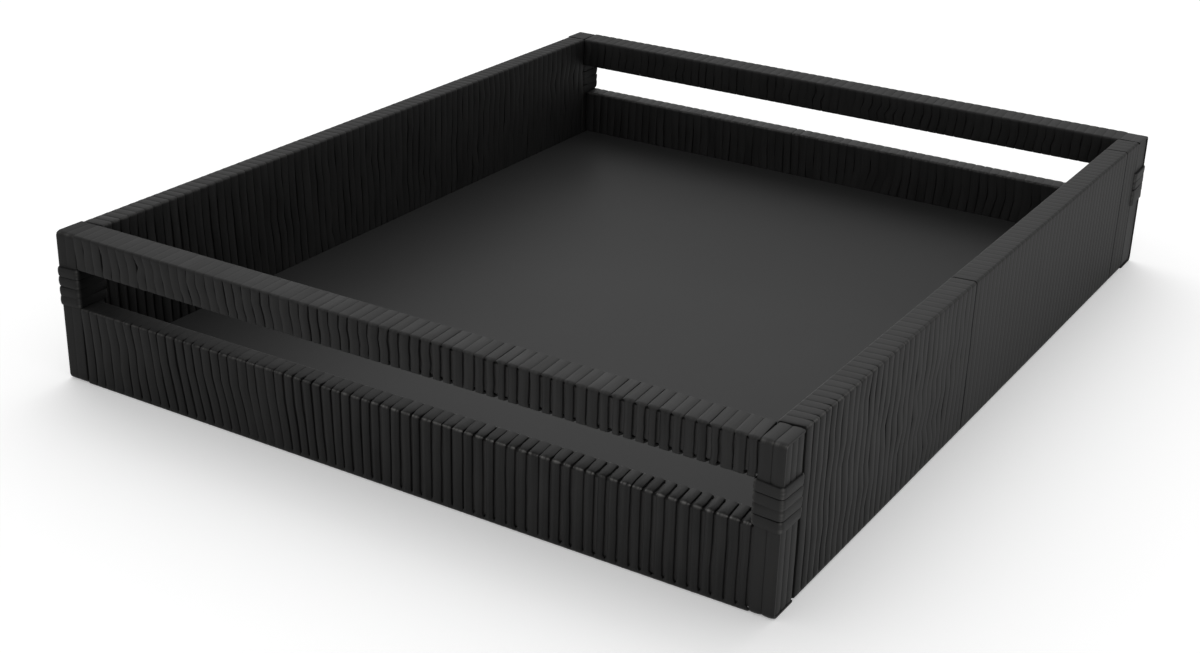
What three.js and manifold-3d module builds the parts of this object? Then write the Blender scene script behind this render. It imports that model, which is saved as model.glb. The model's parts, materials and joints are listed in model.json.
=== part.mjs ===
// A black wicker serving tray: boards wound with flat reed stand round a smooth base panel.
// Millimetres, +Z up. X runs along the two handle walls and Y from the front wall to the back one.
// The origin is the middle of the tray, on the surface that it stands on.
import * as THREE from 'three';
import { mergeVertices } from 'three/addons/utils/BufferGeometryUtils.js';
import Module from 'manifold-3d';

const wasm = await Module();
wasm.setup();

// Overall size, over the reed
const trayWidth = 380;
const trayLength = 460;
const trayHeight = 76;

// Boards under the reed. Stiles and handle rails are thicker than the boards under the hand slots.
const endBoard = 15;
const lowerBoard = 10;
const sideBoard = 10;
const handleRailHeight = 15;
const slotHeight = 19.2;
const edgeEase = 1;

// Flat reed, and how many pieces of it stand side by side on a stile
const reedWidth = 4.95;
const reedThickness = 1.1;
const reedGap = 0.45;
const coverStrips = 2;
const endStrips = 3;
const bindingTurns = 4;
const bindingDip = 1.2;

// Joinery
const tenonLength = 3;
const tenonShoulder = 3;
const screwDiameter = 3.4;
const screwHeadDiameter = 5.4;
const screwHeadHeight = 1.8;
const screwTip = 4;
const screwGrip = 18;
const roundSides = 10;

// Base
const baseThickness = 5;
const baseTop = 13;
const cleatWidth = 10;
const cleatHeight = 6.5;

// Clearances
const glueLine = 0.15;
const fitGap = 0.25;

// Planes that the pieces share
const wrap = reedThickness + glueLine;
const wallX = trayWidth / 2;
const wallY = trayLength / 2;
const stileOuterX = wallX - wrap;
const stileInnerX = stileOuterX - sideBoard;
const boardFrontY = -(wallY - wrap);
const boardBackY = boardFrontY + endBoard;
const lowerBackY = boardFrontY + lowerBoard;
const boardBottomZ = wrap;
const boardTopZ = trayHeight - wrap;
const handleBottomZ = boardTopZ - handleRailHeight;
const slotTopZ = handleBottomZ - wrap;
const slotBottomZ = slotTopZ - slotHeight;
const lowerTopZ = slotBottomZ - wrap;
const wellX = stileInnerX - wrap;
const wellY = -(boardBackY + wrap);
const panelY = -(lowerBackY + wrap);

// Finishes
const finishes = {
  reed: { color: 0x1b1a19, roughness: 0.42, metalness: 0 },
  board: { color: 0x24201d, roughness: 0.7, metalness: 0 },
  base: { color: 0x201f1e, roughness: 0.35, metalness: 0 },
  cleat: { color: 0x2a2725, roughness: 0.6, metalness: 0 },
  screw: { color: 0xb9bcc0, roughness: 0.35, metalness: 1 },
};

function addPiece(group, name, geometry, finish) {
  const piece = new THREE.Mesh(geometry, new THREE.MeshStandardMaterial(finishes[finish]));
  piece.name = name;
  group.add(piece);
  return piece;
}

// Turns a shape drawn along Z so that it runs along X or Y
const turnAlong = {
  x: new THREE.Matrix4().makeBasis(
    new THREE.Vector3(0, 1, 0), new THREE.Vector3(0, 0, 1), new THREE.Vector3(1, 0, 0)),
  y: new THREE.Matrix4().makeBasis(
    new THREE.Vector3(0, 0, 1), new THREE.Vector3(1, 0, 0), new THREE.Vector3(0, 1, 0)),
  z: new THREE.Matrix4(),
};

// Joining and cutting
function toSolid(geometry) {
  const bare = geometry.clone();
  bare.deleteAttribute('normal');
  bare.deleteAttribute('uv');
  const merged = mergeVertices(bare);
  return new wasm.Manifold(new wasm.Mesh({
    numProp: 3,
    vertProperties: merged.attributes.position.array,
    triVerts: Uint32Array.from(merged.index.array),
  }));
}

function toGeometry(solid) {
  const mesh = solid.getMesh();
  const geometry = new THREE.BufferGeometry();
  geometry.setAttribute('position', new THREE.BufferAttribute(mesh.vertProperties, 3));
  geometry.setIndex(new THREE.BufferAttribute(mesh.triVerts, 1));
  return geometry;
}

function blockBetween(cornerA, cornerB) {
  const bounds = new THREE.Box3().setFromPoints([cornerA, cornerB].map((c) => new THREE.Vector3(...c)));
  const size = bounds.getSize(new THREE.Vector3());
  const middle = bounds.getCenter(new THREE.Vector3());
  return new THREE.BoxGeometry(...size).translate(...middle);
}

// A board with its long edges eased, so that the reed bends over them without cracking
function easedBoard(cornerA, cornerB, along) {
  const bounds = new THREE.Box3().setFromPoints([cornerA, cornerB].map((c) => new THREE.Vector3(...c)));
  const middle = bounds.getCenter(new THREE.Vector3());
  const toDrawing = turnAlong[along].clone().transpose();
  const drawn = bounds.getSize(new THREE.Vector3()).applyMatrix4(toDrawing);
  const halfU = drawn.x / 2;
  const halfV = drawn.y / 2;
  const outline = new THREE.Shape();
  outline.moveTo(-halfU + edgeEase, -halfV);
  outline.lineTo(halfU - edgeEase, -halfV);
  outline.lineTo(halfU, -halfV + edgeEase);
  outline.lineTo(halfU, halfV - edgeEase);
  outline.lineTo(halfU - edgeEase, halfV);
  outline.lineTo(-halfU + edgeEase, halfV);
  outline.lineTo(-halfU, halfV - edgeEase);
  outline.lineTo(-halfU, -halfV + edgeEase);
  const board = new THREE.ExtrudeGeometry(outline, { depth: drawn.z, bevelEnabled: false });
  board.translate(0, 0, -drawn.z / 2);
  return board.applyMatrix4(turnAlong[along]).translate(...middle);
}

// Corners of a wound section in the order that the strip meets them
const cornerSigns = [[-1, -1], [1, -1], [1, 1], [-1, 1]];

// One unbroken strip wound round a section of halfU by halfV, drawn along Z. It has one pass between
// two corners, and shares says what part of the pitch it climbs on the pass that leaves each corner.
// A hand of -1 winds it the other way round.
function woundStrip({ name, halfU, halfV, width, pitch, hand, passes, firstCorner, shares, start }) {
  const points = [];
  let climb = start;
  for (let pass = 0; pass <= passes; pass += 1) {
    const corner = (firstCorner + pass) % cornerSigns.length;
    const [signU, signV] = cornerSigns[corner];
    const section = [
      [reedThickness, -width / 2],
      [reedThickness, width / 2],
      [0, width / 2],
      [0, -width / 2],
    ];
    for (const [lift, side] of section) {
      points.push(new THREE.Vector3(
        hand * signU * (halfU + lift), signV * (halfV + lift), climb + side));
    }
    climb += pitch * shares[corner];
  }

  const ring = 4;
  const triangles = [0, 1, 2, 0, 2, 3];
  for (let pass = 0; pass < passes; pass += 1) {
    for (let side = 0; side < ring; side += 1) {
      const a = pass * ring + side;
      const d = pass * ring + (side + 1) % ring;
      triangles.push(a, a + ring, d + ring, a, d + ring, d);
    }
  }
  const last = passes * ring;
  triangles.push(last, last + 2, last + 1, last, last + 3, last + 2);

  // The least gap lies between the facing edges of two neighbouring turns
  let leastGap = Infinity;
  const perTurn = cornerSigns.length;
  for (let pass = 0; pass + perTurn < passes; pass += 1) {
    for (const [near, far] of [[1, 0], [2, 3]]) {
      const next = (pass + perTurn) * ring + far;
      const facing = new THREE.Line3(points[next], points[next + ring]);
      for (const from of [points[pass * ring + near], points[(pass + 1) * ring + near]]) {
        const nearest = facing.closestPointToPoint(from, true, new THREE.Vector3());
        leastGap = Math.min(leastGap, nearest.distanceTo(from));
      }
    }
  }
  console.log(`${name}: ${passes} passes, least gap to itself ${leastGap.toFixed(2)} mm`);

  const strip = new THREE.BufferGeometry().setFromPoints(points);
  strip.setIndex(hand > 0 ? triangles : triangles.reverse());
  return strip;
}

// A winding that fills a span with turns of the reed's own width, square on three faces and
// stepping to the next turn on the face that is hidden underneath
function wallWinding({ name, halfU, halfV, span, firstCorner, stepCorner }) {
  const turns = Math.floor((span + reedGap) / (reedWidth + reedGap));
  const pitch = (span - reedWidth) / (turns - 1);
  const shares = cornerSigns.map((_, corner) => (corner === stepCorner ? 1 : 0));
  return woundStrip({
    name,
    halfU,
    halfV,
    width: reedWidth,
    pitch,
    hand: 1,
    passes: turns * cornerSigns.length - 1,
    firstCorner,
    shares,
    start: (reedWidth - span) / 2,
  });
}

// Rails: each has a stub tenon at both ends
function railBoard(bottomZ, topZ, backY) {
  const shoulderX = stileInnerX - glueLine;
  const tenonX = stileInnerX + tenonLength;
  const board = easedBoard([-shoulderX, boardFrontY, bottomZ], [shoulderX, backY, topZ], 'x');
  const tongue = blockBetween(
    [-tenonX, boardFrontY + tenonShoulder, bottomZ + tenonShoulder],
    [tenonX, backY - tenonShoulder, topZ - tenonShoulder]);
  return toGeometry(toSolid(board).add(toSolid(tongue)));
}

function mortise(side, bottomZ, topZ, backY) {
  const cheek = tenonShoulder - fitGap;
  const depth = tenonLength + fitGap;
  return toSolid(blockBetween(
    [side * (stileInnerX - depth), boardFrontY + cheek, bottomZ + cheek],
    [side * (stileInnerX + depth), backY - cheek, topZ - cheek]));
}

// Screws run from the front of a stile into the end of a side board
const screwX = (stileInnerX + tenonLength + fitGap + stileOuterX) / 2;
const screwHeights = {
  upper: (handleBottomZ + boardTopZ) / 2,
  lower: (boardBottomZ + lowerTopZ) / 2,
};
const screwLength = endBoard + screwGrip;

function screwShape(clearance) {
  const head = screwHeadDiameter / 2 + clearance;
  const shank = screwDiameter / 2 + clearance;
  const outline = [
    [0, screwLength + clearance],
    [shank, screwLength - screwTip + clearance],
    [shank, screwHeadHeight],
    [head, 0],
    [0, 0],
  ];
  return new THREE.LatheGeometry(outline.map((p) => new THREE.Vector2(...p)).reverse(), roundSides);
}

function screwHole(side, height, faceY) {
  return toSolid(screwShape(fitGap).translate(side * screwX, faceY, height));
}

// Stiles: one at each end of a handle wall, full height
function stileBoard(side) {
  let stile = toSolid(easedBoard(
    [side * stileInnerX, boardFrontY, boardBottomZ], [side * stileOuterX, boardBackY, boardTopZ], 'z'));
  stile = stile.subtract(mortise(side, boardBottomZ, lowerTopZ, lowerBackY));
  stile = stile.subtract(mortise(side, handleBottomZ, boardTopZ, boardBackY));
  for (const height of Object.values(screwHeights)) {
    stile = stile.subtract(screwHole(side, height, boardFrontY));
  }
  return toGeometry(stile);
}

// A strip laid over the front, the top and the underside of a stile
function coverStrip(side, index) {
  const pitch = (wallX - stileInnerX) / coverStrips;
  const width = pitch - reedGap;
  const outerX = wallX - index * pitch;
  const outline = new THREE.Shape();
  outline.moveTo(-wallY, 0);
  outline.lineTo(boardBackY, 0);
  outline.lineTo(boardBackY, reedThickness);
  outline.lineTo(-wallY + reedThickness, reedThickness);
  outline.lineTo(-wallY + reedThickness, trayHeight - reedThickness);
  outline.lineTo(boardBackY, trayHeight - reedThickness);
  outline.lineTo(boardBackY, trayHeight);
  outline.lineTo(-wallY, trayHeight);
  const strip = new THREE.ExtrudeGeometry(outline, { depth: width, bevelEnabled: false });
  const middleX = side * (outerX - width / 2);
  return strip.applyMatrix4(turnAlong.x).translate(middleX - width / 2, 0, 0);
}

// An upright strip on the end face of a stile, under the binding
function endStrip(side, index) {
  const pitch = endBoard / endStrips;
  const frontY = boardFrontY + index * pitch + reedGap / 2;
  return blockBetween(
    [side * (stileOuterX + glueLine), frontY, boardBottomZ],
    [side * wallX, frontY + pitch - reedGap, boardTopZ]);
}

// The binding lies over the other strips of a stile, along the height of the slot. Each turn is level
// in the slot, dips a little round the front and the end face, and steps to the next one behind.
function postBinding(side, name) {
  const innerX = stileInnerX - glueLine;
  const outerX = wallX + glueLine;
  const frontY = -wallY - glueLine;
  const backY = boardBackY + glueLine;
  const halfU = (outerX - innerX) / 2;
  const halfV = (backY - frontY) / 2;
  const room = slotHeight - 2 * fitGap;
  const pitch = (room + reedGap) / bindingTurns;
  const width = pitch - reedGap;
  const dip = bindingDip / pitch;
  const frontDip = dip * halfU / (halfU + halfV);
  const strip = woundStrip({
    name,
    halfU,
    halfV,
    width,
    pitch,
    hand: -side,
    passes: bindingTurns * cornerSigns.length - 1,
    firstCorner: 3,
    shares: [frontDip, 0, 1 - dip, dip - frontDip],
    start: slotBottomZ + fitGap + width / 2 - bindingDip,
  });
  return strip.translate(side * (innerX + halfU), frontY + halfV, 0);
}

// A handle wall, drawn as the front one
function handleWall(wall, sides) {
  const group = new THREE.Group();
  const span = 2 * (stileInnerX - glueLine);
  const rails = {
    handle: [handleBottomZ, boardTopZ, boardBackY],
    lower: [boardBottomZ, lowerTopZ, lowerBackY],
  };
  for (const [rail, [bottomZ, topZ, backY]] of Object.entries(rails)) {
    addPiece(group, `${wall}_${rail}_rail`, railBoard(bottomZ, topZ, backY), 'board');
    const name = `${wall}_${rail}_winding`;
    const winding = wallWinding({
      name,
      halfU: (backY - boardFrontY) / 2 + glueLine,
      halfV: (topZ - bottomZ) / 2 + glueLine,
      span,
      firstCorner: 1,
      stepCorner: 0,
    });
    winding.applyMatrix4(turnAlong.x);
    winding.translate(0, (boardFrontY + backY) / 2, (bottomZ + topZ) / 2);
    addPiece(group, name, winding, 'reed');
  }

  for (const [hand, side] of sides) {
    const corner = `${wall}_${hand}`;
    addPiece(group, `${corner}_stile`, stileBoard(side), 'board');
    for (let index = 0; index < coverStrips; index += 1) {
      addPiece(group, `${corner}_cover_strip_${index + 1}`, coverStrip(side, index), 'reed');
    }
    for (let index = 0; index < endStrips; index += 1) {
      addPiece(group, `${corner}_end_strip_${index + 1}`, endStrip(side, index), 'reed');
    }
    addPiece(group, `${corner}_binding`, postBinding(side, `${corner}_binding`), 'reed');
    for (const [place, height] of Object.entries(screwHeights)) {
      const screw = addPiece(group, `${corner}_${place}_screw`, screwShape(0), 'screw');
      screw.position.set(side * screwX, boardFrontY, height);
    }
  }
  return group;
}

// A side wall, drawn as the right one. Its board butts on the stiles, and a notch at each end
// leaves room for the binding.
function sideWall(wall) {
  const group = new THREE.Group();
  const endY = -boardBackY - glueLine;
  const clearY = wellY - fitGap;
  let board = toSolid(easedBoard(
    [stileInnerX, -endY, boardBottomZ], [stileOuterX, endY, boardTopZ], 'y'));
  for (const end of [-1, 1]) {
    board = board.subtract(toSolid(blockBetween(
      [stileInnerX - wrap, end * clearY, slotBottomZ],
      [stileOuterX + wrap, end * (endY + wrap), slotTopZ])));
    for (const height of Object.values(screwHeights)) {
      const pilot = screwShape(fitGap);
      if (end > 0) pilot.rotateZ(Math.PI);
      pilot.translate(screwX, -end * boardFrontY, height);
      board = board.subtract(toSolid(pilot));
    }
  }
  addPiece(group, `${wall}_side_board`, toGeometry(board), 'board');

  const name = `${wall}_side_winding`;
  const winding = wallWinding({
    name,
    halfU: (boardTopZ - boardBottomZ) / 2 + glueLine,
    halfV: sideBoard / 2 + glueLine,
    span: 2 * clearY,
    firstCorner: 0,
    stepCorner: 3,
  });
  const middleX = (stileInnerX + stileOuterX) / 2;
  winding.applyMatrix4(turnAlong.y).translate(middleX, 0, trayHeight / 2);
  addPiece(group, name, winding, 'reed');
  return group;
}

// The base panel lies on four cleats that are fixed low on the walls
function base() {
  const group = new THREE.Group();
  const halfX = wellX - fitGap;
  const halfY = panelY - fitGap;
  const outline = new THREE.Shape();
  outline.moveTo(-halfX + edgeEase, -halfY + edgeEase);
  outline.lineTo(halfX - edgeEase, -halfY + edgeEase);
  outline.lineTo(halfX - edgeEase, halfY - edgeEase);
  outline.lineTo(-halfX + edgeEase, halfY - edgeEase);
  const panel = new THREE.ExtrudeGeometry(outline, {
    depth: baseThickness - 2 * edgeEase,
    bevelSize: edgeEase,
    bevelThickness: edgeEase,
    bevelSegments: 1,
  });
  addPiece(group, 'base_panel', panel.translate(0, 0, baseTop - baseThickness + edgeEase), 'base');

  const topZ = baseTop - baseThickness - glueLine;
  const bottomZ = topZ - cleatHeight;
  const endCleatY = halfY - cleatWidth;
  const sideCleatY = endCleatY - fitGap;
  for (const [end, sign] of [['front', -1], ['back', 1]]) {
    const cleat = easedBoard([-halfX, sign * halfY, bottomZ], [halfX, sign * endCleatY, topZ], 'x');
    addPiece(group, `${end}_cleat`, cleat, 'cleat');
  }
  for (const [side, sign] of [['left', -1], ['right', 1]]) {
    const cleat = easedBoard(
      [sign * halfX, -sideCleatY, bottomZ], [sign * (halfX - cleatWidth), sideCleatY, topZ], 'y');
    addPiece(group, `${side}_cleat`, cleat, 'cleat');
  }
  return group;
}

const tray = new THREE.Group();
tray.add(base());
tray.add(handleWall('front', [['left', -1], ['right', 1]]));
tray.add(handleWall('back', [['right', -1], ['left', 1]]).rotateZ(Math.PI));
tray.add(sideWall('right'));
tray.add(sideWall('left').rotateZ(Math.PI));

export default tray;
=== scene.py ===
# %% [markdown]
# # A black wicker serving tray
# The real tray is a frame of boards wound with flat reed, round a smooth base panel. The boards, the
# base and the screws come from the CAD model, which also gives every size. This lesson makes what the
# eye goes to first: the reed. It is one long flat strip on each board, and no two turns of it lie quite
# alike. All lengths are in metres.

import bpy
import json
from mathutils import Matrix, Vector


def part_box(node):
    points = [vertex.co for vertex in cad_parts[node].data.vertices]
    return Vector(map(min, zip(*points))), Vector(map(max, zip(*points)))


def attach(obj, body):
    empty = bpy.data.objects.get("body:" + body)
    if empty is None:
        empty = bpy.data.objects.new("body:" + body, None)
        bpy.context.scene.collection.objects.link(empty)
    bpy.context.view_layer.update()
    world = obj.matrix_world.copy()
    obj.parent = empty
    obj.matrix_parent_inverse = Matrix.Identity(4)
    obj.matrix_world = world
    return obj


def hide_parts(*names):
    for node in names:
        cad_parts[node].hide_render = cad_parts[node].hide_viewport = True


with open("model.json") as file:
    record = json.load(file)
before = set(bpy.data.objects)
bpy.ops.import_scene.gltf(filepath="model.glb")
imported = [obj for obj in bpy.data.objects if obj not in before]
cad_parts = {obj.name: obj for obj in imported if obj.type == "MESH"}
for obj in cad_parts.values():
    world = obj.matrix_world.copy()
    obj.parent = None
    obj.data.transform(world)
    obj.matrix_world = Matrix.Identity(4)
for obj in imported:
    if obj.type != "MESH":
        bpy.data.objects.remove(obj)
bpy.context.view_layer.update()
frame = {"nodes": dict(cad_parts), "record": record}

# %% [markdown]
# ## Camera
# The photograph was taken from the front right, a little above the tray. A camera could be moved by hand
# until the picture fits. The corners of the tray give the lens, the turn and the height more exactly, so
# the camera is set from those few values. A camera looks down its own -Z, so the columns of its matrix
# are its right, its up and the way back from it.

# %% Camera
import bpy
from math import cos, radians, sin
from mathutils import Matrix, Vector

PHOTO_WIDTH = 1200
FOCAL_PIXELS = 1798.5
SENSOR = 36.0
AZIMUTH = radians(31.188)
ELEVATION = radians(23.845)
ROLL = radians(1.595)
DISTANCE = 0.94361
AIM = Vector((-0.01235, -0.03012, 0.0))

away = Vector((sin(AZIMUTH) * cos(ELEVATION), -cos(AZIMUTH) * cos(ELEVATION), sin(ELEVATION)))
level_right = Vector((cos(AZIMUTH), sin(AZIMUTH), 0.0))
level_up = away.cross(level_right)
right = level_right * cos(ROLL) + level_up * sin(ROLL)
up = level_up * cos(ROLL) - level_right * sin(ROLL)
camera_data = bpy.data.cameras.new("camera")
camera_data.sensor_fit = "HORIZONTAL"
camera_data.sensor_width = SENSOR
camera_data.lens = FOCAL_PIXELS * SENSOR / PHOTO_WIDTH
camera = bpy.data.objects.new("camera", camera_data)
axes = Matrix((right, up, away)).transposed().to_4x4()
camera.matrix_world = Matrix.Translation(AIM + away * DISTANCE) @ axes
bpy.context.scene.collection.objects.link(camera)
bpy.context.scene.camera = camera
print("Camera lens in mm:", round(camera_data.lens, 2))

# %% [markdown]
# ## Shader sums
# A material is a net of nodes, and it could be drawn box by box. It is easier to read as sums. A Wire is
# one socket that takes part in Python arithmetic, and each sum adds a Math node. The bar stands for the
# larger of two values.

# %% Wires
class Wire:
    """A socket of a shader node that can be added, subtracted and multiplied."""

    def __init__(self, finish, socket):
        self.finish = finish
        self.socket = socket

    def sum(self, operation, first, second):
        return self.finish.node("ShaderNodeMath", {"operation": operation}, {0: first, 1: second})

    def __add__(self, other):
        return self.sum("ADD", self, other)

    def __radd__(self, other):
        return self.sum("ADD", other, self)

    def __sub__(self, other):
        return self.sum("SUBTRACT", self, other)

    def __rsub__(self, other):
        return self.sum("SUBTRACT", other, self)

    def __mul__(self, other):
        return self.sum("MULTIPLY", self, other)

    def __rmul__(self, other):
        return self.sum("MULTIPLY", other, self)

    def __or__(self, other):
        return self.sum("MAXIMUM", self, other)


print("Made the wires that shader sums are written with")

# %% [markdown]
# ## Finishes
# A Finish is one material with a Principled shader. One method adds any node, and the short ones after
# it name the few nodes that come back in every finish of the tray: a noise, a pattern that is stretched
# one way, a blend of two colours, a bump and a value that a piece carries on its points. A Mix node has
# inputs for numbers, vectors and colours, so the ones for colours are picked by their place.

# %% Finishes
MIX_FACTOR, MIX_LOW, MIX_HIGH, MIX_RESULT = 0, 6, 7, 2


class Finish:
    """A material: one Principled shader and the nodes that feed it."""

    def __init__(self, name):
        self.material = bpy.data.materials.new(name)
        self.material.use_nodes = True
        self.tree = self.material.node_tree
        self.shader = self.tree.nodes["Principled BSDF"]

    def node(self, kind, settings=None, sockets=None, output=0):
        made = self.tree.nodes.new(kind)
        for key, value in (settings or {}).items():
            setattr(made, key, value)
        for key, value in (sockets or {}).items():
            self.feed(made.inputs[key], value)
        return Wire(self, made.outputs[output])

    def feed(self, socket, value):
        if isinstance(value, Wire):
            self.tree.links.new(value.socket, socket)
        else:
            socket.default_value = value

    def shade(self, values):
        for key, value in values.items():
            self.feed(self.shader.inputs[key], value)
        return self.material

    def noise(self, where, scale=1.0, detail=2.0, roughness=0.5):
        return self.node("ShaderNodeTexNoise", sockets={
            "Vector": where, "Scale": scale, "Detail": detail, "Roughness": roughness})

    def stretched(self, where, scale):
        return self.node("ShaderNodeMapping", sockets={"Vector": where, "Scale": scale})

    def blend(self, factor, low, high):
        return self.node("ShaderNodeMix", {"data_type": "RGBA"},
                         {MIX_FACTOR: factor, MIX_LOW: low, MIX_HIGH: high}, MIX_RESULT)

    def bump(self, height, strength, distance):
        return self.node("ShaderNodeBump", sockets={
            "Height": height, "Strength": strength, "Distance": distance})

    def carried(self, name):
        return self.node("ShaderNodeAttribute", {"attribute_name": name}, output="Fac")


print("Made the helper that finishes are mixed with")

# %% [markdown]
# ## Patterns in the reed
# Flat reed is split from a vine, so fine fibres run along it. A pattern that is fixed in space would cut
# straight through the bends, so each strip has a map of its own, across and along in metres, and the
# fibres follow it round every bend. The streaks are broader than the fibres, and the tone changes from
# turn to turn, because the dye and the lacquer take unevenly.

# %% Reed patterns
REED_MAP = "reed"
FIBRES = (2600.0, 35.0, 1.0)
STREAKS = (700.0, 14.0, 1.0)
TURN_TONES = (60.0, 23.0, 1.0)
FIBRE_DETAIL = 3.0
FIBRE_ROUGHNESS = 0.6


def reed_patterns(reed):
    where = reed.node("ShaderNodeUVMap", {"uv_map": REED_MAP})
    fibre = reed.noise(reed.stretched(where, FIBRES), detail=FIBRE_DETAIL, roughness=FIBRE_ROUGHNESS)
    streak = reed.noise(reed.stretched(where, STREAKS))
    tone = reed.noise(reed.stretched(where, TURN_TONES))
    return fibre, streak, tone


print("Fibres in a millimetre across the reed:", FIBRES[0] / 1000)

# %% [markdown]
# ## Reed finish
# The reed was dyed black and then lacquered to a satin gloss. One plain black would look like plastic,
# so three values on the points of every strip change it there. Hands and table tops rub the bends first,
# where the lacquer wears shinier and paler, and the pale colour also paints a highlight on them: this
# value is 1 at the middle of a bend and 0 on a flat. A second value paints shade, black and matt, on the
# slot sides of the posts, down towards the foot of the walls and at some ends of the windings. And loose
# turns differ in tone, where tight ones were dyed together.

# %% Reed finish
RUBBED_AND_HIGHLIT, PAINTED_SHADE, LOOSE = "rubbed_and_highlit", "dull", "loose"
MIDDLE = 0.5
UNEVENNESS = (0.15, 1.0)
TONE_SHARE, STREAK_SHARE, FIBRE_SHARE = 1.3, 0.5, 0.4
DYED_DARK, DYED_LIGHT = (0.004, 0.004, 0.004, 1), (0.031, 0.0306, 0.0302, 1)
# How strong the wear and the painted highlight on the bends are, from tight to loose turns.
WEAR_AND_HIGHLIGHT = (0.35, 0.95)
PATCH_GAIN, PATCH_LOSS = 2.4, 0.7
# Pale colour on the rubbed bends: partly wear, partly a painted highlight.
PALE_WEAR_AND_HIGHLIGHT = (0.2, 0.196, 0.19, 1)
# Black that paints shade where the shade value is set.
PAINTED_SHADE_BLACK = (0.002, 0.002, 0.002, 1)
STREAK_HEIGHT = 0.8
REED_BUMP, REED_BUMP_HEIGHT = 0.15, 0.0002
SATIN, SATIN_WANDER, WORN_SHINE, PAINTED_SHADE_MATT = 0.61, 0.4, 0.3, 0.4
REED_SPECULAR = 0.18


def between(ends, share):
    """The value that lies a share of the way between two ends, for numbers and for wires."""
    return ends[0] + (ends[1] - ends[0]) * share


def reed_finish():
    reed = Finish("reed_satin_black")
    fibre, streak, tone = reed_patterns(reed)
    rubbed_and_highlit, dull, loose = reed.carried(RUBBED_AND_HIGHLIT), reed.carried(PAINTED_SHADE), reed.carried(LOOSE)
    uneven = between(UNEVENNESS, loose)
    mottle = (tone - MIDDLE) * TONE_SHARE + (streak - MIDDLE) * STREAK_SHARE + (fibre - MIDDLE) * FIBRE_SHARE
    dyed = reed.blend(MIDDLE + mottle * uneven, DYED_DARK, DYED_LIGHT)
    # The bends get shinier, paler wear and a painted highlight, broken into patches.
    rub_and_highlight = rubbed_and_highlit * between(WEAR_AND_HIGHLIGHT, loose)
    worn = rub_and_highlight * rub_and_highlight * (streak * PATCH_GAIN - PATCH_LOSS | 0.0)
    lacquered = reed.blend(worn, dyed, PALE_WEAR_AND_HIGHLIGHT)
    return reed.shade({
        # Painted shade turns the colour black and the lacquer matt.
        "Base Color": reed.blend(dull, lacquered, PAINTED_SHADE_BLACK),
        "Roughness": SATIN + (tone - MIDDLE) * SATIN_WANDER * uneven - WORN_SHINE * worn + PAINTED_SHADE_MATT * dull,
        "Specular IOR Level": REED_SPECULAR,
        "Normal": reed.bump(fibre + streak * STREAK_HEIGHT, REED_BUMP, REED_BUMP_HEIGHT),
    })


REED = reed_finish()
print("Made", REED.name)

# %% [markdown]
# ## A straight strip
# A strip starts out straight, as it does on the bench. A curve with a bevel would make a strip too, but
# its section can't change on the way. Here the section is one small face with two rounded corners and
# three points between them that will rise into a crown. Spin with no angle and a plain step pulls it out
# into a long prism with a ring of points at every step. The rings are numbered by their height, so no
# list of faces is written.

# %% Straight strip
import bmesh

end_strip_low, end_strip_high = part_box("front_right_end_strip_1")
REED_THICKNESS = end_strip_high.x - end_strip_low.x
REED_WIDTH = 0.005
EDGE_ROUND = 0.00024
FACE_CUTS = 3


def straight_reed(rings):
    bm = bmesh.new()
    bmesh.ops.create_grid(bm, x_segments=1, y_segments=1, size=0.5)
    bmesh.ops.scale(bm, vec=(REED_WIDTH, REED_THICKNESS, 1.0), verts=bm.verts)
    bmesh.ops.translate(bm, vec=(0.0, REED_THICKNESS / 2, 0.0), verts=bm.verts)
    corners = [v for v in bm.verts if v.co.y > REED_THICKNESS / 2]
    bmesh.ops.bevel(bm, geom=corners, offset=EDGE_ROUND, offset_type="OFFSET", segments=1,
                    profile=0.5, affect="VERTICES", material=-1)
    flat_top = REED_THICKNESS - EDGE_ROUND / 2
    face_side = [e for e in bm.edges if all(v.co.y > flat_top for v in e.verts)]
    bmesh.ops.subdivide_edges(bm, edges=face_side, cuts=FACE_CUTS)
    bmesh.ops.spin(bm, geom=bm.verts[:] + bm.edges[:] + bm.faces[:], cent=(0.0, 0.0, 0.0),
                   axis=(0.0, 0.0, 1.0), dvec=(0.0, 0.0, 1.0), angle=0.0, steps=rings - 1)
    return bm


print("Reed thickness in mm:", round(REED_THICKNESS * 1000, 2))

# %% [markdown]
# ## A ring on the board
# Each ring of the strip belongs at one place on its board. A board is drawn from the end: out and up give
# the middle of a bend, the angle says which way the reed faces there, and along runs with the board. The
# rest is what the hand leaves behind: how far the reed stands off, tips, spreads and rises into a crown.

# %% Ring on the board
from collections import namedtuple

BEND_RADIUS = 0.0013
HALF_LOOSE = 0.5
# Full wear and painted highlight on the bends, unless a winding gives less.
FULL_WEAR_AND_HIGHLIGHT = 1.0
CROWN_LEVEL = 0.5

Ring = namedtuple("Ring", "out up angle along spread crown lift tilt radius dull loose worn",
                  defaults=(0.0, 0.0, BEND_RADIUS, 0.0, HALF_LOOSE, FULL_WEAR_AND_HIGHLIGHT))


def on_board(ring, across, height):
    swelling = 1.0 + ring.crown * (CROWN_LEVEL - (2.0 * across / REED_WIDTH) ** 2)
    reach = ring.radius - REED_THICKNESS + ring.lift + ring.tilt * across + height * swelling
    return Vector((
        ring.out + reach * cos(ring.angle),
        ring.along + across * ring.spread,
        ring.up + reach * sin(ring.angle)))


print("Values that place a ring:", ", ".join(Ring._fields))

# %% [markdown]
# ## Laying the strip
# Now the straight strip is laid on its board, ring by ring. Before the points move, their places on the
# bench give the map for the fibres. Afterwards the long edges and the sharp bends are marked, and
# Weighted Normal keeps the flat faces flat, so that a satin gloss doesn't roll over them.

# %% Laying the strip
SHARP_BEND = radians(60)
SHARP_EDGE = radians(40)


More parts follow.
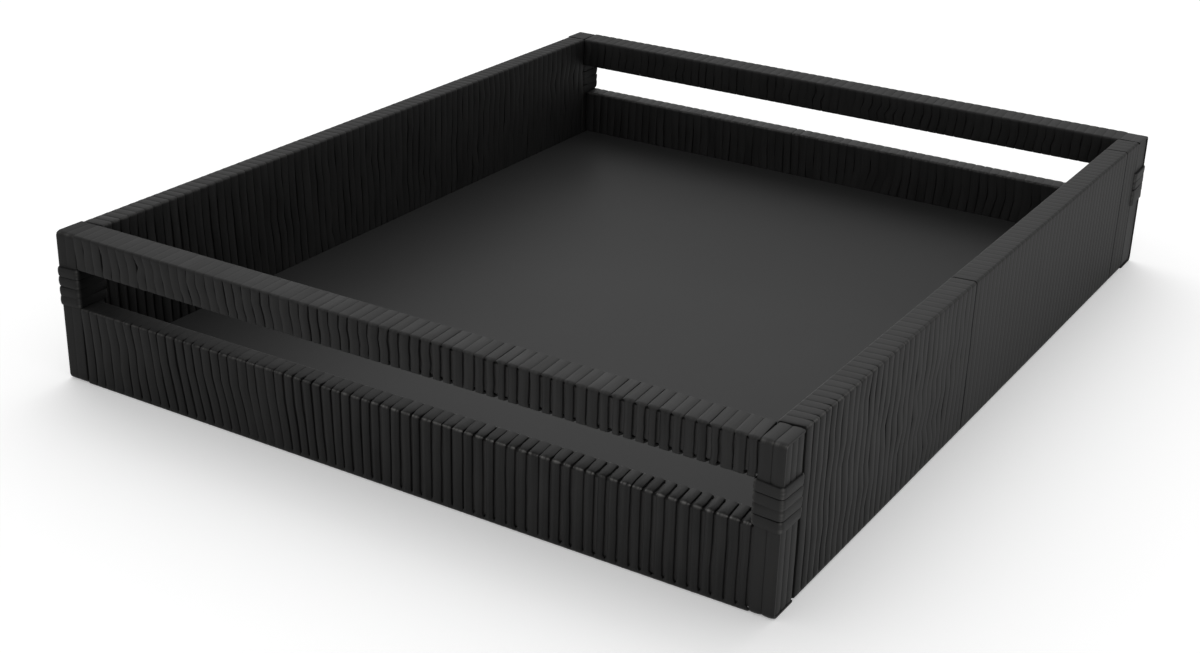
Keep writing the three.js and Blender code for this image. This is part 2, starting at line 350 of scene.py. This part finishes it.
def laid_reed(name, rings, to_tray):
    bm = straight_reed(len(rings))
    lengths = [0.0]
    for before, after in zip(rings, rings[1:]):
        step = on_board(after, 0.0, REED_THICKNESS) - on_board(before, 0.0, REED_THICKNESS)
        lengths.append(lengths[-1] + step.length)
    rubbed_and_highlit, dull, loose = [bm.verts.layers.float.new(value) for value in (RUBBED_AND_HIGHLIT, PAINTED_SHADE, LOOSE)]
    layer = bm.loops.layers.uv.new(REED_MAP)
    for face in bm.faces:
        for loop in face.loops:
            place = loop.vert.co
            loop[layer].uv = (place.x, lengths[round(place.z)])
    sharpness = {edge: SHARP_BEND if edge.verts[0].co.z == edge.verts[1].co.z else SHARP_EDGE
                 for edge in bm.edges}
    for vert in bm.verts:
        ring = rings[round(vert.co.z)]
        # Pale wear and a painted highlight, strongest in the middle of each bend.
        vert[rubbed_and_highlit] = abs(sin(2.0 * ring.angle)) * ring.worn
        # Painted shade: black and matt where the winding or post sets it.
        vert[dull] = ring.dull
        vert[loose] = ring.loose
        vert.co = to_tray @ on_board(ring, vert.co.x, vert.co.y)
    bmesh.ops.recalc_face_normals(bm, faces=bm.faces)
    for face in bm.faces:
        face.smooth = True
    for edge, limit in sharpness.items():
        edge.smooth = edge.calc_face_angle(0.0) < limit
    return finished(name, bm)


def finished(name, bm):
    mesh = bpy.data.meshes.new(name)
    bm.to_mesh(mesh)
    bm.free()
    mesh.materials.append(REED)
    piece = bpy.data.objects.new(name, mesh)
    bpy.context.scene.collection.objects.link(piece)
    flatten = piece.modifiers.new("flat faces stay flat", "WEIGHTED_NORMAL")
    flatten.keep_sharp = True
    return piece


print("Strips get the finish", REED.name)

# %% [markdown]
# ## Walls
# All four walls are wound the same way, so they share one drawing: out of the tray, along the wall and
# up. Turning that drawing about Z gives each wall its own place. A CAD piece's box, turned back into the
# drawing, says where the reed goes, and the new piece then stands for that CAD piece.

# %% Wall frames
WALL_TURNS = {"right": 0, "back": 90, "left": 180, "front": 270}
wall_frames = {wall: Matrix.Rotation(radians(turn), 3, "Z") for wall, turn in WALL_TURNS.items()}


def box_in(node, to_tray):
    to_drawing = to_tray.inverted()
    corners = [to_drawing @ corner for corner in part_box(node)]
    return Vector(map(min, *corners)), Vector(map(max, *corners))


def stands_for(piece, node):
    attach(piece, "root")
    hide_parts(node)


print("Right wall, out, along and up:", box_in("right_side_winding", wall_frames["right"]))

# %% [markdown]
# ## Tight and slack turns
# A winder lays the reed square to the board on the faces that show and steps to the next turn
# underneath. By hand it never comes out quite even. Where the reed was pulled tight, the lacquer closes
# the joints and the turns lie almost flush. Where it is slack, a turn stands proud, tips, waves and
# leaves a gap. Slack runs from 0 upwards and is given at the two ends of a wall, once for its top edge
# and once for its faces, with the most that it may reach. A long wall also leans: towards one place its
# turns slope, by so much on the outside and on the inside, and then they come upright again.

# %% Slack and lean
MOST_SLACK = 1.2
Slack = namedtuple("Slack", "first last most", defaults=(MOST_SLACK,))
Lean = namedtuple("Lean", "centre reach outside inside")


def slack_at(slack, share):
    return min(slack.most, max(0.0, between(slack, share)))


def swell(along, lean):
    distance = abs(along - lean.centre) / lean.reach
    return cos(min(distance, 1.0) * radians(90)) ** 2


print("Slack in the middle of a wall that starts tight:", slack_at(Slack(0.0, 1.0), MIDDLE))

# %% [markdown]
# ## The way round a board
# One turn goes up the inner face, over the top edge and down the outer face. It is noted as a row of
# stations, each with its place, the ways that the reed faces there, and how much of the turn's faults
# shows at each of them, its relief. The corners are pulled flat, so relief goes to 0 in the middle of a
# bend. On the faces the stations lie at a few levels, where the turn waves from side to side. On some
# walls the gaps run on round the outer top bend like claws, and at the foot of most the turns close up.

# %% Way round a board
INWARDS, UPWARDS, OUTWARDS = (180,), (90,), (0,)
INNER_FOOT, INNER_EDGE = (270, 225, 180), (180, 135, 90)
OUTER_EDGE, OUTER_FOOT = (90, 45), (0, -45, -90)
TOP_SLANT = -0.0011
CLAW = 0.35
FOOT_RISE = 0.0015
WAVE_LENGTH = 0.011
LEAST_WAVES = 3
Board = namedtuple("Board", "inner outer bottom top levels")
Turn = namedtuple("Turn", "top_slack face_slack inside outside waves")
Station = namedtuple("Station", "out up angles reliefs shift slack")


def board_in(low, high):
    bottom, top = low.z + BEND_RADIUS, high.z - BEND_RADIUS
    waves = max(LEAST_WAVES, round((top - bottom) / WAVE_LENGTH))
    levels = [step / waves for step in range(1, waves)]
    return Board(low.x + BEND_RADIUS, high.x - BEND_RADIUS, bottom, top, levels)


def up_the_inside(board, turn):
    slack = turn.face_slack
    stations = [Station(board.inner, board.bottom, INNER_FOOT, (0.0, 0.0, slack), turn.inside, slack)]
    for level in board.levels:
        height = between((board.bottom, board.top), level)
        shift = between((turn.inside, TOP_SLANT), level) + turn.waves[level]
        stations.append(Station(board.inner, height, INWARDS, (slack,), shift, slack))
    return stations


def over_the_top(board, turn, clawed):
    slack = turn.top_slack
    claw = between((board.outer, board.inner), CLAW)
    bend_slack = turn.face_slack if clawed else slack
    return [
        Station(board.inner, board.top, INNER_EDGE, (turn.face_slack, 0.0, slack), TOP_SLANT, slack),
        Station(claw, board.top, UPWARDS, (slack,), TOP_SLANT * CLAW, slack),
        Station(board.outer, board.top, OUTER_EDGE, (slack, 0.0), 0.0, bend_slack),
    ]


def down_the_outside(board, turn, closed):
    slack = turn.face_slack
    stations = [Station(board.outer, board.top, OUTWARDS, (slack,), 0.0, slack)]
    for level in reversed(board.levels):
        height = between((board.bottom, board.top), level)
        shift = between((turn.outside, 0.0), level) - turn.waves[level]
        stations.append(Station(board.outer, height, OUTWARDS, (slack,), shift, slack))
    foot_slack = 0.0 if closed else slack
    return stations + [
        Station(board.outer, board.bottom + FOOT_RISE, OUTWARDS, (slack,), turn.outside, slack),
        Station(board.outer, board.bottom, OUTER_FOOT, (foot_slack, 0.0, 0.0), turn.outside, foot_slack),
    ]


right_board = board_in(*box_in("right_side_winding", wall_frames["right"]))
print("Levels on the faces of the right wall:", len(right_board.levels))

# %% [markdown]
# ## Faults of the hand
# No two turns come out alike. A texture could fake that, but gaps and proud edges show in the outline, so
# each turn gets faults of its own: how far it stands proud, how it tips and how wide a gap it leaves
# where it is slack. Waves are passed on from a turn to its neighbour, as they are when each turn is laid
# against the last. All of it comes from a generator with a fixed seed, so every run gives the same tray.

# %% Faults of the hand
import random

PROUD = 0.0002
TIPPED = 0.045
SLACK_GAP = 0.0016
LOOSENESS = (0.5, 1.5)
WAVY = 0.00028
NEIGHBOURLY = 0.8
Faults = namedtuple("Faults", "proud tip gap")


def faults_of_hand(chance):
    proud = chance.uniform(0.0, PROUD)
    tip = chance.gauss(0.0, TIPPED)
    return Faults(proud, tip, SLACK_GAP * chance.uniform(*LOOSENESS))


def passed_on(wander, chance):
    return {level: side * NEIGHBOURLY + chance.gauss(0.0, WAVY) for level, side in wander.items()}


print("One turn, as an example:", faults_of_hand(random.Random("example")))

# %% [markdown]
# ## Winding a board
# The turns are wound one after another, with an even pitch and here and there a gap that is plainly
# wider. A winding says how slack its top edge and its faces are, how much painted shade darkens its two
# ends, how much it falls short of the CAD span there, and where its wider gaps lie. It also says how
# much painted shade darkens its foot, how strongly its bends are worn and given a painted highlight, and
# whether the gaps run on round the outer top bend.

# %% Winding a board
TURN_PITCH = 0.0054
TIGHT_GAP = -0.0006
WIDE_GAP = 0.0013
STRAY = 0.0001
WAVES = (2.4, 0.5)
FIRST_SLACK = 0.2
CROWNS = (0.03, 0.7)
# Painted shade at the foot of a wall: darker towards the floor.
FOOT_PAINTED_SHADE = 0.1
Winding = namedtuple("Winding", "wall lean top faces dull short wide foot worn clawed",
                     defaults=((0.0, 0.0), (), FOOT_PAINTED_SHADE, FULL_WEAR_AND_HIGHLIGHT, True))


def turn_at(share, along, winding, wander):
    slack = slack_at(winding.faces, share)
    swing = swell(along, winding.lean)
    wave = between(WAVES, slack) * min(1.0, slack / FIRST_SLACK)
    waves = {level: side * wave for level, side in wander.items()}
    return Turn(slack_at(winding.top, share), slack, winding.lean.inside * swing,
                winding.lean.outside * swing, waves)


def wound_rings(low, high, winding, seed):
    chance = random.Random(seed)
    board = board_in(low, high)
    first, last = low.y + winding.short[0], high.y - winding.short[1]
    turns = int((last - first) / TURN_PITCH)
    pitch = (last - first) / turns
    wander = dict.fromkeys(board.levels, 0.0)
    rings = []
    for count in range(turns):
        share = (count + MIDDLE) / turns
        along = between((first, last), share)
        wide = any(abs(along - place) < pitch / 2 for place in winding.wide)
        along += WIDE_GAP / 2 * wide
        room = pitch - (TIGHT_GAP + WIDE_GAP * wide)
        faults = faults_of_hand(chance)
        wander = passed_on(wander, chance)
        turn = turn_at(share, along, winding, wander)
        stations = (up_the_inside(board, turn) + over_the_top(board, turn, winding.clawed)
                    + down_the_outside(board, turn, closed=winding.foot > 0.0))
        for out, up, angles, reliefs, shift, slack in stations:
            place = along + shift + chance.gauss(0.0, STRAY) * slack
            spread = (room - faults.gap * slack) / REED_WIDTH
            # Painted shade: darker towards the ends that a winding gives, and down its outer face towards
            # the floor.
            depth = (board.top - up) / (board.top - board.bottom) if out == board.outer else 0.0
            dull = between(winding.dull, share) + winding.foot * depth
            rings += [Ring(out, up, radians(angle), place, spread, between(CROWNS, relief),
                           faults.proud * relief, faults.tip * relief,
                           dull=dull, loose=turn.face_slack, worn=winding.worn)
                      for angle, relief in zip(angles, reliefs)]
    return rings, turns


print("A turn every", TURN_PITCH * 1000, "mm")

# %% [markdown]
# ## The six windings
# Each wall was looked at by itself. The front wall is slack towards the right and leans left of the
# middle, the right wall goes from slack in front to tight behind, with two wider gaps, and the inside of
# the left wall is wavy. The handles are smooth on top, where hands hold them.

# %% Six windings
windings = {
    "front_handle_winding": Winding(
        "front", Lean(centre=-0.1, reach=0.12, outside=0.0026, inside=-0.001),
        top=Slack(-0.45, 1.2, most=0.36), faces=Slack(0.25, 1.7), dull=(0.22, -0.05),
        short=(-0.0004, -0.0005), foot=0.0, worn=0.3, clawed=False),
    "front_lower_winding": Winding(
        "front", Lean(centre=-0.1, reach=0.11, outside=0.006, inside=-0.002),
        top=Slack(-0.1, 0.9), faces=Slack(0.5, 1.7), dull=(0.27, 0.0), short=(-0.0004, -0.0001)),
    "back_handle_winding": Winding(
        "back", Lean(centre=0.07, reach=0.14, outside=0.002, inside=-0.001),
        top=Slack(0.2, 0.3), faces=Slack(0.5, 0.6), dull=(0.2, 0.25), foot=0.0, worn=0.3, clawed=False),
    "back_lower_winding": Winding(
        "back", Lean(centre=0.08, reach=0.14, outside=0.004, inside=-0.002),
        top=Slack(0.2, 0.3), faces=Slack(0.5, 0.6), dull=(0.0, 0.0)),
    "right_side_winding": Winding(
        "right", Lean(centre=0.12, reach=0.15, outside=-0.002, inside=0.002),
        top=Slack(0.2, -0.3), faces=Slack(0.66, -0.79), dull=(0.0, 0.15),
        short=(0.0012, -0.0009), wide=(-0.035, 0.196)),
    "left_side_winding": Winding(
        "left", Lean(centre=0.1, reach=0.2, outside=0.002, inside=-0.005),
        top=Slack(0.2, 0.3), faces=Slack(0.3, 1.0), dull=(0.27, 0.15),
        short=(0.0004, -0.0008), worn=0.5, clawed=False),
}
for node, winding in windings.items():
    to_tray = wall_frames[winding.wall]
    rings, turns = wound_rings(*box_in(node, to_tray), winding, node)
    stands_for(laid_reed(f"{node}_reed", rings, to_tray), node)
    print(node, "has", turns, "turns")

# %% [markdown]
# ## Posts
# The four posts are covered in reed as well, and each came out a little differently. The front right one
# is nearest to the camera and shows rounded strips, and the others lie almost flush. Posts at the two
# ends of a wall are mirror images, so their drawing has a hand as well as a turn.

# %% Posts
POST_RADIUS = 0.0022
BEND_STEPS = 2
Post = namedtuple("Post", "turn hand binding_crown swell crown dull")
# The last value of a post paints shade on its strips, black and matt, most on the two left posts.
posts = {
    "front_left": Post(turn=0, hand=1, binding_crown=0.35, swell=0.001, crown=0.06, dull=0.35),
    "front_right": Post(turn=0, hand=-1, binding_crown=0.35, swell=0.0004, crown=0.3, dull=0.0),
    "back_right": Post(turn=180, hand=1, binding_crown=0.05, swell=0.001, crown=0.06, dull=0.1),
    "back_left": Post(turn=180, hand=-1, binding_crown=0.3, swell=0.001, crown=0.06, dull=0.35),
}


def post_frame(post):
    upright = Matrix(((post.hand, 0, 0), (0, 0, 1), (0, 1, 0)))
    return Matrix.Rotation(radians(post.turn), 3, "Z") @ upright


print("Posts:", ", ".join(posts))

# %% [markdown]
# ## Bindings
# Beside each hand slot a reed is bound four times round the post, over the upright strips. Four separate
# loops would be simpler, but the real one is a single strip. It is level in the slot, dips a little
# round the front and the end face, and steps up to the next turn behind the post, where the side wall
# hides it. The side that faces the slot lies in shade, and that shade is painted on: black and matt.

# %% Bindings
BINDING_TURNS = 4
BINDING_DIP = 0.0012
BINDING_GAP = 0.00004
CAD_GAP = 0.00045
BINDING_TIPPED = 0.05
BINDING_STRAY = 0.0002


def binding_rings(low, high, post, seed):
    chance = random.Random(seed)
    pitch = (high.y - low.y - BINDING_DIP + CAD_GAP) / BINDING_TURNS
    spread = (pitch - BINDING_GAP) / REED_WIDTH
    left, right = low.x + POST_RADIUS, high.x - POST_RADIUS
    front, back = low.z + POST_RADIUS, high.z - POST_RADIUS
    end_dip = BINDING_DIP * (back - front) / (back - front + right - left)
    corners = [
        (left, back, 90, end_dip),
        (left, front, 180, BINDING_DIP - end_dip),
        (right, front, 270, 0.0),
        (right, back, 0, pitch - BINDING_DIP),
    ]
    height = low.y + pitch / 2
    rings = []
    for count in range(BINDING_TURNS * len(corners)):
        across, depth, start, climb = corners[count % len(corners)]
        place = height + chance.gauss(0.0, BINDING_STRAY)
        tilt = chance.gauss(0.0, BINDING_TIPPED)
        for step in range(BEND_STEPS + 1):
            angle = start + 90 * step / BEND_STEPS
            # The strip in the slot gets full painted shade.
            in_slot = across == right and depth == front and angle % 360 == 0
            rings.append(Ring(across, depth, radians(angle), place, spread, post.binding_crown, tilt=tilt,
                              radius=POST_RADIUS, dull=max(post.dull, in_slot)))
        height += climb
    return rings


for name, post in posts.items():
    node = f"{name}_binding"
    to_tray = post_frame(post)
    rings = binding_rings(*box_in(node, to_tray), post, node)
    stands_for(laid_reed(f"{node}_reed", rings, to_tray), node)
print("Bound", len(posts), "posts")

# %% [markdown]
# ## Upright strips on the posts
# Under the binding, two strips fold over the front, the top and the underside of each post, and three
# more stand on its end face with their tips tucked in. They are short and plain, so a few rings each are
# enough, and they swell a little past the CAD strips so that the joints between them close.

# %% Upright strips
TUCK = 0.0001
TUCK_LENGTH = 0.003


def middle_and_spread(low, high, post):
    return (low.y + high.y) / 2, (high.y - low.y + post.swell) / REED_WIDTH


def cover_rings(low, high, post):
    middle, spread = middle_and_spread(low, high, post)
    outer = high.x - POST_RADIUS
    bottom, top = low.z + POST_RADIUS, high.z - POST_RADIUS
    corners = [(low.x, top, 90)]
    for up, first in ((top, 90), (bottom, 0)):
        corners += [(outer, up, first - 90 * step / BEND_STEPS) for step in range(BEND_STEPS + 1)]
    corners.append((low.x, bottom, -90))
    return [Ring(out, up, radians(angle), middle, spread, post.crown * (angle > -90),
                 radius=POST_RADIUS, dull=post.dull) for out, up, angle in corners]


def end_rings(low, high, post):
    middle, spread = middle_and_spread(low, high, post)
    out = high.x - BEND_RADIUS
    heights = (low.z, low.z + TUCK_LENGTH, high.z - TUCK_LENGTH, high.z)
    lifts = (-TUCK, 0.0, 0.0, -TUCK)
    return [Ring(out, up, 0.0, middle, spread, post.crown, lift, dull=post.dull)
            for up, lift in zip(heights, lifts)]


for node in sorted(frame["nodes"]):
    wall, hand = node.split("_")[:2]
    if "cover_strip" in node:
        rings = cover_rings(*box_in(node, wall_frames[wall]), posts[f"{wall}_{hand}"])
        stands_for(laid_reed(f"{node}_reed", rings, wall_frames[wall]), node)
    elif "end_strip" in node:
        rings = end_rings(*box_in(node, wall_frames[hand]), posts[f"{wall}_{hand}"])
        stands_for(laid_reed(f"{node}_reed", rings, wall_frames[hand]), node)

# %% [markdown]
# ## Base finish
# The base is a smooth board under satin black lacquer: almost even, with a faint cloudiness that shows
# in the tone and the gloss, and a grain too fine to see singly. Its shape is right already, so only its
# finish is made.

# %% Base finish
CLOUD_SCALE, CLOUD_DETAIL = 9.0, 3.0
LACQUER_GRAIN = 900.0
LACQUER_DARK, LACQUER_LIGHT = (0.03, 0.03, 0.03, 1), (0.036, 0.036, 0.036, 1)
LACQUER_ROUGHNESS = (0.4, 0.5)
LACQUER_BUMP, LACQUER_BUMP_HEIGHT = 0.05, 0.0001
LACQUER_SPECULAR = 0.05


def lacquer_finish():
    lacquer = Finish("base_satin_lacquer")
    where = lacquer.node("ShaderNodeTexCoord", output="Object")
    cloud = lacquer.noise(where, CLOUD_SCALE, CLOUD_DETAIL)
    grain = lacquer.noise(where, LACQUER_GRAIN)
    return lacquer.shade({
        "Base Color": lacquer.blend(cloud, LACQUER_DARK, LACQUER_LIGHT),
        "Roughness": between(LACQUER_ROUGHNESS, cloud),
        "Specular IOR Level": LACQUER_SPECULAR,
        "Normal": lacquer.bump(grain, LACQUER_BUMP, LACQUER_BUMP_HEIGHT),
    })


slot_finishes = {"base": lacquer_finish()}
print("Made", slot_finishes["base"].name)

# %% [markdown]
# ## Board and cleat finish
# The boards under the reed are stained black, so that no pale wood shows between two turns. The cleats
# under the base have the same stain, a little thinner. Both are softwood with a long grain, so one
# finish is mixed twice, from two pairs of tones.

# %% Board and cleat finish
GRAIN_STRETCH = (300.0, 300.0, 30.0)
GRAIN_DETAIL = 4.0
STAIN_ROUGHNESS = (0.55, 0.75)
GRAIN_BUMP, GRAIN_BUMP_HEIGHT = 0.2, 0.0002
BOARD_TONES = (0.003, 0.0028, 0.0026, 1), (0.01, 0.009, 0.0085, 1)
CLEAT_TONES = (0.01, 0.009, 0.0085, 1), (0.03, 0.027, 0.025, 1)


def stained_finish(name, tones):
    wood = Finish(name)
    where = wood.node("ShaderNodeTexCoord", output="Object")
    grain = wood.noise(wood.stretched(where, GRAIN_STRETCH), detail=GRAIN_DETAIL)
    return wood.shade({
        "Base Color": wood.blend(grain, *tones),
        "Roughness": between(STAIN_ROUGHNESS, grain),
        "Normal": wood.bump(grain, GRAIN_BUMP, GRAIN_BUMP_HEIGHT),
    })


slot_finishes["board"] = stained_finish("board_black_stain", BOARD_TONES)
slot_finishes["cleat"] = stained_finish("cleat_black_stain", CLEAT_TONES)
print("Made", slot_finishes["board"].name, "and", slot_finishes["cleat"].name)

# %% [markdown]
# ## Screw finish
# The screws are hidden, but a part that is taken apart shows them: zinc on steel, with the small
# spangles of the plating in its tone and its gloss. Then every CAD piece that is still seen as it came
# gets the finish of its slot in the record.

# %% Screw finish
SPANGLE_SCALE = 1500.0
ZINC_DARK, ZINC_LIGHT = (0.5, 0.51, 0.53, 1), (0.68, 0.69, 0.7, 1)
ZINC_ROUGHNESS = (0.25, 0.45)


def zinc_finish():
    zinc = Finish("screw_zinc")
    where = zinc.node("ShaderNodeTexCoord", output="Object")
    spangle = zinc.noise(where, SPANGLE_SCALE)
    return zinc.shade({
        "Base Color": zinc.blend(spangle, ZINC_DARK, ZINC_LIGHT),
        "Metallic": 1.0,
        "Roughness": between(ZINC_ROUGHNESS, spangle),
    })


slot_finishes["screw"] = zinc_finish()
for subpart in frame["record"]["subparts"]:
    finish = slot_finishes.get(subpart["material_slot"])
    if finish:
        mesh = frame["nodes"][subpart["node"]].data
        mesh.materials.clear()
        mesh.materials.append(finish)
print("Finishes on CAD pieces:", sorted(slot_finishes))

# %% [markdown]
# ## Floor
# The tray stands on a white floor, painted matt. Paint alone comes out grey in a render, and more light
# would wash out the black reed. So a faint glow is added only where the camera or a reflection sees the
# floor: it comes out white and still takes the shadow.

# %% Floor
FLOOR_SIZE = 40.0
FLOOR_WHITE = (0.95, 0.95, 0.95, 1)
FLOOR_MATT = 0.9
NO_GLOW, FLOOR_GLOW = (0, 0, 0, 1), (0.24, 0.24, 0.24, 1)


def floor_finish():
    paint = Finish("floor_white")
    seen = paint.node("ShaderNodeLightPath", output="Is Camera Ray")
    for ray in ("Is Glossy Ray", "Is Transmission Ray"):
        seen = seen | paint.node("ShaderNodeLightPath", output=ray)
    return paint.shade({
        "Base Color": FLOOR_WHITE,
        "Roughness": FLOOR_MATT,
        "Specular IOR Level": 0.0,
        "Emission Color": paint.blend(seen, NO_GLOW, FLOOR_GLOW),
        "Emission Strength": 1.0,
    })


bm = bmesh.new()
bmesh.ops.create_grid(bm, x_segments=1, y_segments=1, size=FLOOR_SIZE / 2)
floor_mesh = bpy.data.meshes.new("floor")
bm.to_mesh(floor_mesh)
bm.free()
floor_mesh.materials.append(floor_finish())
floor = bpy.data.objects.new("floor", floor_mesh)
bpy.context.scene.collection.objects.link(floor)
print("Floor in metres:", tuple(floor.dimensions))

# %% [markdown]
# ## Light
# Black satin shows what is round it more than its own colour, so small lamps would draw hard spots on
# it. The light is large and soft instead: a pale world, and a wide window light from the back left that
# gives the edges a little shape.

# %% Light
KEY_FROM = Vector((-0.4, 0.58, 0.71))
KEY_STRENGTH = 1.15
KEY_ANGLE = radians(70)
WORLD_STRENGTH = 0.6

lamp = bpy.data.lights.new("window_light", "SUN")
lamp.energy = KEY_STRENGTH
lamp.angle = KEY_ANGLE
window = bpy.data.objects.new("window_light", lamp)
window.rotation_euler = KEY_FROM.to_track_quat("Z", "Y").to_euler()
bpy.context.scene.collection.objects.link(window)
world = bpy.data.worlds.new("pale_studio")
world.use_nodes = True
sky = world.node_tree.nodes["Background"]
sky.inputs["Color"].default_value = (1, 1, 1, 1)
sky.inputs["Strength"].default_value = WORLD_STRENGTH
bpy.context.scene.world = world
bpy.context.scene.view_settings.view_transform = "Standard"
print("Key light:", KEY_STRENGTH, "world:", WORLD_STRENGTH)

import json
